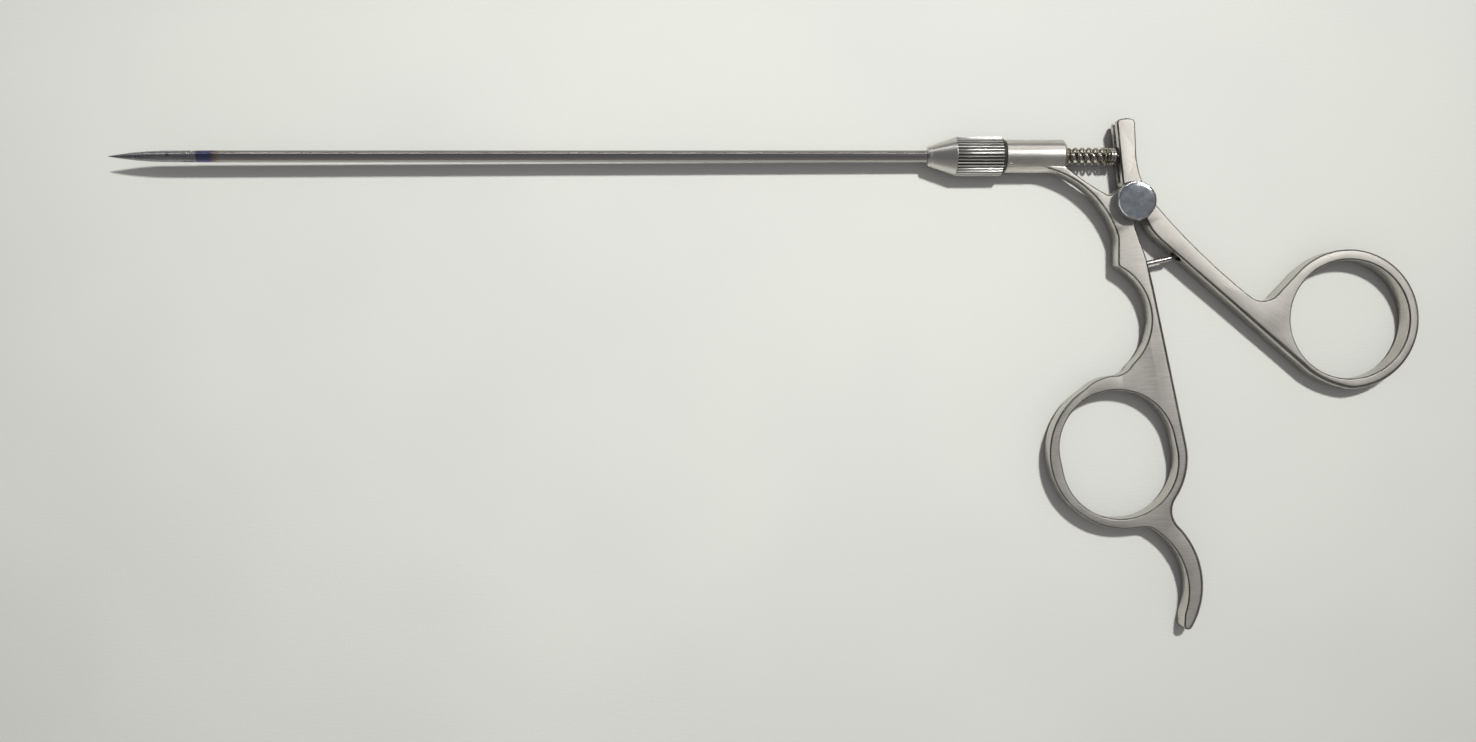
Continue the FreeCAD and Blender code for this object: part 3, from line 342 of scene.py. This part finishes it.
def dressCopy(node, pieceName, body, material, smoothAngle):
    # the CAD node's own shape, its loose triangles joined so that its curves shade smoothly
    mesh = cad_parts[node].data.copy()
    mesh.name = pieceName
    piece = bpy.data.objects.new(pieceName, mesh)
    scene.collection.objects.link(piece)
    work = bmesh.new()
    work.from_mesh(mesh)
    bmesh.ops.remove_doubles(work, verts=work.verts, dist=0.0001 * mm)
    work.to_mesh(mesh)
    work.free()
    if mesh.has_custom_normals:
        mesh.attributes.remove(mesh.attributes["custom_normal"])
    finishMesh(piece, material, smoothAngle)
    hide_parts(node)
    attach(piece, body)


def latheRings(profile, steps, closed=False):
    # profile is (along, radius) pairs in mm that end on the axis, or go round a bore if closed
    work = bmesh.new()
    rings = []
    for along, radius in profile:
        if radius == 0:
            rings.append([work.verts.new((along * mm, 0, 0))])
            continue
        ring = []
        for step in range(steps):
            angle = 2 * math.pi * step / steps
            ring.append(work.verts.new((along * mm, radius * mm * math.cos(angle),
                                        radius * mm * math.sin(angle))))
        rings.append(ring)
    for first, second in zip(rings, rings[1:] + rings[:1] if closed else rings[1:]):
        for step in range(steps):
            after = (step + 1) % steps
            corners = []
            for vert in (first[step % len(first)], first[after % len(first)],
                         second[after % len(second)], second[step % len(second)]):
                if vert not in corners:
                    corners.append(vert)
            if len(corners) > 2:
                work.faces.new(corners)
    bmesh.ops.recalc_face_normals(work, faces=work.faces)
    return work


def newTree(name, **kinds):
    tree = bpy.data.node_groups.new(name, "GeometryNodeTree")
    interface = tree.interface
    interface.new_socket("Geometry", in_out="INPUT", socket_type="NodeSocketGeometry")
    interface.new_socket("Geometry", in_out="OUTPUT", socket_type="NodeSocketGeometry")
    for label, kind in kinds.items():
        interface.new_socket(label, in_out="INPUT", socket_type="NodeSocket" + kind)
    start, end = tree.nodes.new("NodeGroupInput"), tree.nodes.new("NodeGroupOutput")
    return tree, start.outputs, end


def bakeNodes(piece, tree, **values):
    # runs the tree on the piece and keeps the result as its plain mesh
    modifier = piece.modifiers.new(tree.name, "NODES")
    modifier.node_group = tree
    for item in tree.interface.items_tree:
        if item.name in values:
            modifier[item.identifier] = values[item.name]
    bpy.context.view_layer.update()
    shown = piece.evaluated_get(bpy.context.evaluated_depsgraph_get())
    mesh = bpy.data.meshes.new_from_object(shown)
    piece.modifiers.remove(modifier)
    old = piece.data
    piece.data = mesh
    mesh.name = piece.name
    bpy.data.meshes.remove(old)


def makeRibTree(name, material):
    # ribs round the X axis: one half-round bar with tapered ends, copied round the turned body
    tree, start, end = newTree(name, ribCount="Int", ribLength="Float", ribMiddle="Float",
                               pitchRadius="Float", ribWidth="Float", ribHeight="Float")
    # a ball stretched into a bar: its poles become the ends, and its sides are pushed straight
    bar = addNode(tree, "GeometryNodeMeshUVSphere", Segments=10, Rings=10, Radius=1.0)
    ball = splitAxes(tree, addNode(tree, "GeometryNodeInputPosition").outputs[0])
    bluntness = 0.04  # power of the way along the bar: 1 leaves the ball, 0 makes a plain bar
    flare = maths(tree, "POWER", maths(tree, "ABSOLUTE", ball["Z"]), bluntness)
    along = maths(tree, "MULTIPLY", flare, maths(tree, "SIGN", ball["Z"]))
    halfLength = maths(tree, "MULTIPLY", start["ribLength"], 0.5)
    halfWidth = maths(tree, "MULTIPLY", start["ribWidth"], 0.5)
    shaped = addNode(tree, "ShaderNodeCombineXYZ", X=maths(tree, "MULTIPLY", along, halfLength),
                     Y=maths(tree, "MULTIPLY", ball["X"], halfWidth),
                     Z=maths(tree, "MULTIPLY", ball["Y"], start["ribHeight"]))
    rib = addNode(tree, "GeometryNodeSetPosition", Geometry=bar.outputs["Mesh"],
                  Position=shaped.outputs[0])
    spots = addNode(tree, "GeometryNodeMeshLine", {"mode": "OFFSET"}, Count=start["ribCount"])
    index = addNode(tree, "GeometryNodeInputIndex").outputs[0]
    angle = maths(tree, "DIVIDE", maths(tree, "MULTIPLY", index, 2 * math.pi), start["ribCount"])
    across = maths(tree, "MULTIPLY", start["pitchRadius"], maths(tree, "SINE", angle))
    up = maths(tree, "MULTIPLY", start["pitchRadius"], maths(tree, "COSINE", angle))
    spot = addNode(tree, "ShaderNodeCombineXYZ", X=start["ribMiddle"],
                   Y=maths(tree, "MULTIPLY", across, -1.0), Z=up)
    placed = addNode(tree, "GeometryNodeSetPosition", Geometry=spots.outputs[0],
                     Position=spot.outputs[0])
    turn = addNode(tree, "ShaderNodeCombineXYZ", X=angle)
    copies = addNode(tree, "GeometryNodeInstanceOnPoints", Points=placed.outputs[0],
                     Instance=rib.outputs[0], Rotation=turn.outputs[0])
    real = addNode(tree, "GeometryNodeRealizeInstances", Geometry=copies.outputs[0])
    joined = addNode(tree, "GeometryNodeJoinGeometry", Geometry=real.outputs[0])
    feed(tree, joined, Geometry=start["Geometry"])
    coated = addNode(tree, "GeometryNodeSetMaterial", Geometry=joined.outputs[0],
                     Material=material)
    feed(tree, end, Geometry=coated.outputs[0])
    return tree


# plain pieces, straight from the CAD shapes: node, body, slot, material, smoothing in degrees
dressed = {
    "handlePlate": ("front_handle", "handle", "satin_steel", handleSteel, 24),
    "leverPlate": ("thumb_lever", "lever", "satin_steel", leverSteel, 24),
    "outerTube": ("shaft_tube", "handle", "polished_steel", tubeSteel, 40),
    "needlePoint": ("needle_tip", "handle", "ground_steel", tipSteel, 30),
    "needleJaw": ("jaw", "jaw", "ground_steel", tipSteel, 30),
    "jawHingePin": ("jaw_pivot_pin", "handle", "ground_steel", rodSteel, 40),
    "jawDrivePin": ("drive_pin", "rod", "ground_steel", rodSteel, 40),
    "innerRod": ("pull_rod", "rod", "polished_steel", rodSteel, 40),
    "rodEndBall": ("rod_end", "rod", "polished_steel", rodSteel, 30),
    "springSeatWasher": ("spring_washer", "rod", "polished_steel", rodSteel, 30),
    "stopPeg": ("stop_pin", "handle", "polished_steel", rodSteel, 35),
    "tubeFerrule": ("tube_ferrule", "handle", "satin_steel", rodSteel, 35),
    "glandSleeve": ("gland_bush", "handle", "white_plastic", bushPlastic, 35),
    "glandSeal": ("seal_ring", "handle", "seal_rubber", sealRubber, 60),
}
for pieceName, (node, body, slotName, material, smoothAngle) in dressed.items():
    dressCopy(node, pieceName, body, material, smoothAngle)
print("dressed pieces made")

# clamping nut, sizes in mm; the outline is (along, radius) pairs, back over it and out by the bore
nutSizes = {
    "ribCount": 36, "ribStart": 6.5, "ribEnd": 17.45, "ribWidth": 0.56, "ribSunk": 0.1,
    "rootRadius": 4.16, "topRadius": 4.62, "steps": 144, "smoothAngle": 32,
    "nose": [(0.12, 1.43), (0.0, 1.6), (0.0, 2.1), (0.1, 2.28), (0.35, 2.4), (0.75, 2.44),
             (0.95, 2.46)],
    "cone": [(1.05, 2.6), (6.3, 4.38), (6.45, 4.44), (6.6, 4.4)],
    "fluted": [(6.8, 4.16), (17.3, 4.16), (17.6, 4.12), (17.7, 4.05)],
    "bore": [(17.7, 3.05), (9.45, 3.05), (9.45, 2.35), (5.2, 2.35), (5.2, 1.43)]}


def makeNut():
    s = nutSizes
    work = latheRings(s["nose"] + s["cone"] + s["fluted"] + s["bore"], s["steps"], closed=True)
    piece = pieceFrom(work, "clampNut")
    bakeNodes(piece, makeRibTree("fluteRibs", nutSteel), ribCount=s["ribCount"],
              ribLength=(s["ribEnd"] - s["ribStart"]) * mm,
              ribMiddle=(s["ribStart"] + s["ribEnd"]) / 2 * mm,
              pitchRadius=(s["rootRadius"] - s["ribSunk"]) * mm, ribWidth=s["ribWidth"] * mm,
              ribHeight=(s["topRadius"] - s["rootRadius"] + s["ribSunk"]) * mm)
    finishMesh(piece, nutSteel, s["smoothAngle"])
    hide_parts("collet_nut")
    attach(piece, "nut")


makeNut()
print("nut made")

# hinge screw with its knurled knob, sizes in mm; the top edge is (below the top, inside the rim)
knobSizes = {
    "x": 47.78, "y": -11.11, "top": 5.6, "dome": 0.08, "rimRadius": 4.36, "outerRadius": 4.52,
    "ribCount": 66, "ribStart": 3.035, "ribEnd": 5.085, "ribWidth": 0.36, "ribSunk": 0.04,
    "steps": 96, "smoothAngle": 32,
    "shank": [(-2.35, 0), (-2.35, 1.1), (-2.2, 1.25), (-1.15, 1.25), (-1.15, 1.6), (2.6, 1.6)],
    "underside": [(2.6, 3.8), (2.72, 4.05), (3.1, 4.36)],
    "topEdge": [(0.42, 0), (0.28, 0.02), (0.12, 0.1), (0.03, 0.25), (-0.01, 0.45)],
    "domeRadius": 3.91, "domeShares": (0.8, 0.6, 0.4, 0.2, 0.0)}


def makeKnob():
    s = knobSizes
    top, rim, dome = s["top"], s["rimRadius"], s["dome"]
    profile = s["shank"] + s["underside"]
    profile += [(top - below, rim - inside) for below, inside in s["topEdge"]]
    bulge = (rim ** 2 + dome ** 2) / (2 * dome)  # radius of the ball that the dome is cut from
    for share in s["domeShares"]:
        radius = share * s["domeRadius"]
        profile.append((top + dome - (bulge - math.sqrt(bulge ** 2 - radius ** 2)), radius))
    piece = pieceFrom(latheRings(profile, s["steps"]), "hingeKnob")
    bakeNodes(piece, makeRibTree("knobRibs", knobSteel), ribCount=s["ribCount"],
              ribLength=(s["ribEnd"] - s["ribStart"]) * mm,
              ribMiddle=(s["ribStart"] + s["ribEnd"]) / 2 * mm,
              pitchRadius=(rim - s["ribSunk"]) * mm, ribWidth=s["ribWidth"] * mm,
              ribHeight=(s["outerRadius"] - rim + s["ribSunk"]) * mm)
    upright = Matrix.Rotation(-math.pi / 2, 4, "Y")
    piece.data.transform(Matrix.Translation((s["x"] * mm, s["y"] * mm, 0)) @ upright)
    finishMesh(piece, knobSteel, s["smoothAngle"])
    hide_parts("pivot_screw")
    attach(piece, "screw")


makeKnob()
print("knob made")

# return spring, sizes in mm
springSizes = {
    "from": 32.2, "to": 42.81, "slack": 0.01, "stroke": 1.4, "coilRadius": 1.75,
    "wireRadius": 0.3, "turns": 7.5, "closedTurns": 1.0, "closedPitch": 2.1, "steps": 300,
    "sides": 14, "smoothAngle": 50}


def makeSpringTree():
    # the first and last turns lie wire on wire, and the ones between share the length that is left
    s = springSizes
    tree, start, end = newTree("coilSpring", turns="Float", closedTurns="Float",
                               coilRadius="Float", wireRadius="Float", frontEnd="Float",
                               rearEnd="Float")
    line = addNode(tree, "GeometryNodeMeshLine", {"mode": "OFFSET"}, Count=s["steps"] + 1)
    index = addNode(tree, "GeometryNodeInputIndex").outputs[0]
    share = maths(tree, "DIVIDE", index, float(s["steps"]))
    turn = maths(tree, "MULTIPLY", share, start["turns"])
    angle = maths(tree, "MULTIPLY", turn, 2 * math.pi)
    # how many of the turns up to here are closed ones
    lastOpen = maths(tree, "SUBTRACT", start["turns"], start["closedTurns"])
    shutFront = maths(tree, "MINIMUM", turn, start["closedTurns"])
    shutRear = maths(tree, "MAXIMUM", maths(tree, "SUBTRACT", turn, lastOpen), 0.0)
    shut = maths(tree, "ADD", shutFront, shutRear)
    # the pitch of the open turns
    closedPitch = maths(tree, "MULTIPLY", start["wireRadius"], s["closedPitch"])
    closedLength = maths(tree, "MULTIPLY", closedPitch, start["closedTurns"])
    length = maths(tree, "SUBTRACT", start["rearEnd"], start["frontEnd"])
    room = maths(tree, "SUBTRACT", length, maths(tree, "MULTIPLY", start["wireRadius"], 2.0))
    openRoom = maths(tree, "SUBTRACT", room, maths(tree, "MULTIPLY", closedLength, 2.0))
    openTurns = maths(tree, "SUBTRACT", lastOpen, start["closedTurns"])
    openPitch = maths(tree, "DIVIDE", openRoom, openTurns)
    opened = maths(tree, "MULTIPLY", maths(tree, "SUBTRACT", turn, shut), openPitch)
    reach = maths(tree, "ADD", maths(tree, "MULTIPLY", shut, closedPitch), opened)
    first = maths(tree, "ADD", start["frontEnd"], start["wireRadius"])
    spot = addNode(tree, "ShaderNodeCombineXYZ", X=maths(tree, "ADD", first, reach),
                   Y=maths(tree, "MULTIPLY", start["coilRadius"], maths(tree, "COSINE", angle)),
                   Z=maths(tree, "MULTIPLY", start["coilRadius"], maths(tree, "SINE", angle)))
    wound = addNode(tree, "GeometryNodeSetPosition", Geometry=line.outputs[0],
                    Position=spot.outputs[0])
    curve = addNode(tree, "GeometryNodeMeshToCurve", Mesh=wound.outputs[0])
    section = addNode(tree, "GeometryNodeCurvePrimitiveCircle", Resolution=s["sides"],
                      Radius=start["wireRadius"])
    wire = addNode(tree, "GeometryNodeCurveToMesh", Curve=curve.outputs[0],
                   Profile_Curve=section.outputs[0], Fill_Caps=True)
    real = addNode(tree, "GeometryNodeRealizeInstances", Geometry=wire.outputs[0])
    coated = addNode(tree, "GeometryNodeSetMaterial", Geometry=real.outputs[0],
                     Material=springSteel)
    feed(tree, end, Geometry=coated.outputs[0])
    return tree


def makeSpring():
    s = springSizes
    seed = bmesh.new()
    seed.verts.new((0, 0, 0))
    piece = pieceFrom(seed, "coilSpring")
    bakeNodes(piece, makeSpringTree(), turns=s["turns"], closedTurns=s["closedTurns"],
              coilRadius=s["coilRadius"] * mm, wireRadius=s["wireRadius"] * mm,
              frontEnd=(s["from"] + s["slack"]) * mm, rearEnd=(s["to"] - s["slack"]) * mm)
    work = bmesh.new()
    work.from_mesh(piece.data)
    bmesh.ops.recalc_face_normals(work, faces=work.faces)
    work.to_mesh(piece.data)
    work.free()
    finishMesh(piece, springSteel, s["smoothAngle"])
    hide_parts("return_spring")
    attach(piece, "handle")
    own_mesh(piece)


makeSpring()
print("spring made")

# cloth, lamps and camera
clothLook = {
    "size": 1.6, "height": -4.75 * mm, "slopeX": 0.0095, "slopeY": -0.0131, "levelFrom": 0.24,
    "thread": 0.55 * mm, "threadLength": 2.2 * mm, "crossShare": 0.5, "bump": 0.12 * mm,
    "bumpStrength": 0.4, "clouds": 14.0, "colours": ((0.4, "#E4E6E1"), (0.6, "#E6E9E2")),
    # the pale middle, its radius and the tones paint a pool of light on the sheet
    "lightPoolCentre": (-0.09, 0.01), "lightPoolRadius": 0.5, "roughness": 0.9, "specular": 0.2,
    "lightPoolTones": ((0.3, 0.62), (0.5, 0.765), (0.65, 0.87), (0.78, 0.95), (1.0, 1.0))}


def clothMesh():
    # tilted under the object, which rests on its nut and rings, and level further away
    look = clothLook
    half, near = look["size"] / 2, look["levelFrom"]
    lines = (-half, -near, near, half)
    work = bmesh.new()
    grid = []
    for y in lines:
        row = []
        for x in lines:
            rise = look["slopeX"] * max(-near, min(near, x))
            rise += look["slopeY"] * max(-near, min(near, y))
            row.append(work.verts.new((x, y, look["height"] + rise)))
        grid.append(row)
    for low, high in zip(grid, grid[1:]):
        for i in range(len(lines) - 1):
            work.faces.new((low[i], low[i + 1], high[i + 1], high[i]))
    return work


def makeCloth():
    # cotton sheet: a plain weave that shows as faint cross lines
    look = clothLook
    piece = pieceFrom(clothMesh(), "clothFloor")
    material, tree, shader = newMaterial("cottonSheet")
    place = objectPlace(tree)
    long, thin = look["threadLength"], look["thread"]
    warp = grainNoise(tree, place, (long, thin, 1.0), detail=2.0)
    weft = grainNoise(tree, place, (thin, long, 1.0), detail=2.0)
    weave = maths(tree, "ADD", warp, maths(tree, "MULTIPLY", weft, look["crossShare"]))
    clouds = addNode(tree, "ShaderNodeTexNoise", Vector=place, Scale=look["clouds"],
                     Detail=2.0).outputs["Fac"]
    colour = addRamp(tree, clouds, *((at, hexColour(code)) for at, code in look["colours"]))
    # a painted pool of light: the sheet is paler in the middle and greyer towards its edges
    poolCentre = addNode(tree, "ShaderNodeMapping", {"vector_type": "TEXTURE"}, Vector=place,
                     Location=(*look["lightPoolCentre"], look["height"]), Scale=[look["lightPoolRadius"]] * 3)
    lightPool = addNode(tree, "ShaderNodeTexGradient", {"gradient_type": "SPHERICAL"},
                       Vector=poolCentre.outputs[0]).outputs["Fac"]
    paintedLightAndShade = addRamp(tree, lightPool, *((at, grey(level)) for at, level in look["lightPoolTones"]))
    feed(tree, shader, Base_Color=mixColours(tree, 1.0, colour, paintedLightAndShade, "MULTIPLY"),
         Normal=addBump(tree, weave, look["bumpStrength"], look["bump"]),
         Roughness=look["roughness"], Specular_IOR_Level=look["specular"])
    finishMesh(piece, material, smoothAngle=30)


# colours by height: 0 is level with the table, 1 straight above
roomLook = {
    "colours": ((0.0, "#2B292B"), (0.2, "#343234"), (0.42, "#5C595B"), (0.8, "#6A696D"),
                (1.0, "#7C7E82")),
    "wall": "#949290", "wallRange": (-0.25, -0.85), "strength": 1.0}


def makeWorld():
    # an ordinary room: a pale ceiling, and darker towards the floor
    look = roomLook
    world = bpy.data.worlds.new("room")
    scene.world = world
    world.use_nodes = True
    tree = world.node_tree
    way = splitAxes(tree, addNode(tree, "ShaderNodeTexCoord").outputs["Generated"])
    ramp = addRamp(tree, way["Z"], *((at, hexColour(code)) for at, code in look["colours"]))
    # the wall on the photographer's side is pale down to the table
    near = mapRange(tree, way["Y"], look["wallRange"], (0.0, 1.0))
    room = mixColours(tree, near, ramp, hexColour(look["wall"]))
    feed(tree, tree.nodes["Background"], Color=room, Strength=look["strength"])


# the ceiling lights what is matt, and steel mirrors the window and the far strip; metres, watts
lampTarget = (-0.02, -0.04, 0)
lamps = {
    "ceilingLamp": {"way": (0.25, 0.45, 1.0), "distance": 0.9, "size": (0.06, 0.06),
                    "power": 6.75, "colour": "#FFFEFB", "diffuse": True, "glossy": False},
    "ceilingFill": {"way": (0.0, 0.0, 1.0), "distance": 1.2, "size": (1.2, 1.2),
                    "power": 2.2, "colour": "#FFF4F8", "diffuse": True, "glossy": False},
    "window": {"way": (0.452, 0.366, 0.811), "distance": 1.3, "size": (0.16, 0.16),
               "power": 5.3, "colour": "#FFFEFC", "diffuse": False, "glossy": True},
    "farStrip": {"way": (0.0, 0.857, 0.515), "distance": 1.2, "size": (2.6, 0.07),
                 "power": 4.5, "colour": "#FFFFFF", "diffuse": False, "glossy": True}}


def makeLamp(name):
    spec = lamps[name]
    data = bpy.data.lights.new(name, "AREA")
    data.shape = "RECTANGLE"
    data.size, data.size_y = spec["size"]
    data.energy = spec["power"]
    data.color = hexColour(spec["colour"])[:3]
    lamp = bpy.data.objects.new(name, data)
    scene.collection.objects.link(lamp)
    way = Vector(spec["way"]).normalized()
    lamp.location = Vector(lampTarget) + way * spec["distance"]
    lamp.rotation_euler = way.to_track_quat("Z", "Y").to_euler()
    lamp.visible_diffuse = spec["diffuse"]
    lamp.visible_glossy = spec["glossy"]


# lengths in mm, the picture's width in the photo's pixels
shot = {"x": -44.5, "y": -50.5, "height": 280.0, "sensor": 36.0, "width": 1476,
        "pixelsPerMm": 4.25, "near": 10.0, "far": 10000.0}


def makeCamera():
    data = bpy.data.cameras.new("overhead")
    data.sensor_width = shot["sensor"]
    data.lens = shot["sensor"] * shot["height"] / (shot["width"] / shot["pixelsPerMm"])
    data.clip_start, data.clip_end = shot["near"] * mm, shot["far"] * mm
    camera = bpy.data.objects.new("overhead", data)
    scene.collection.objects.link(camera)
    camera.location = (shot["x"] * mm, shot["y"] * mm, shot["height"] * mm)
    scene.camera = camera


makeCloth()
makeWorld()
for lampName in lamps:
    makeLamp(lampName)
makeCamera()
print("stage made")
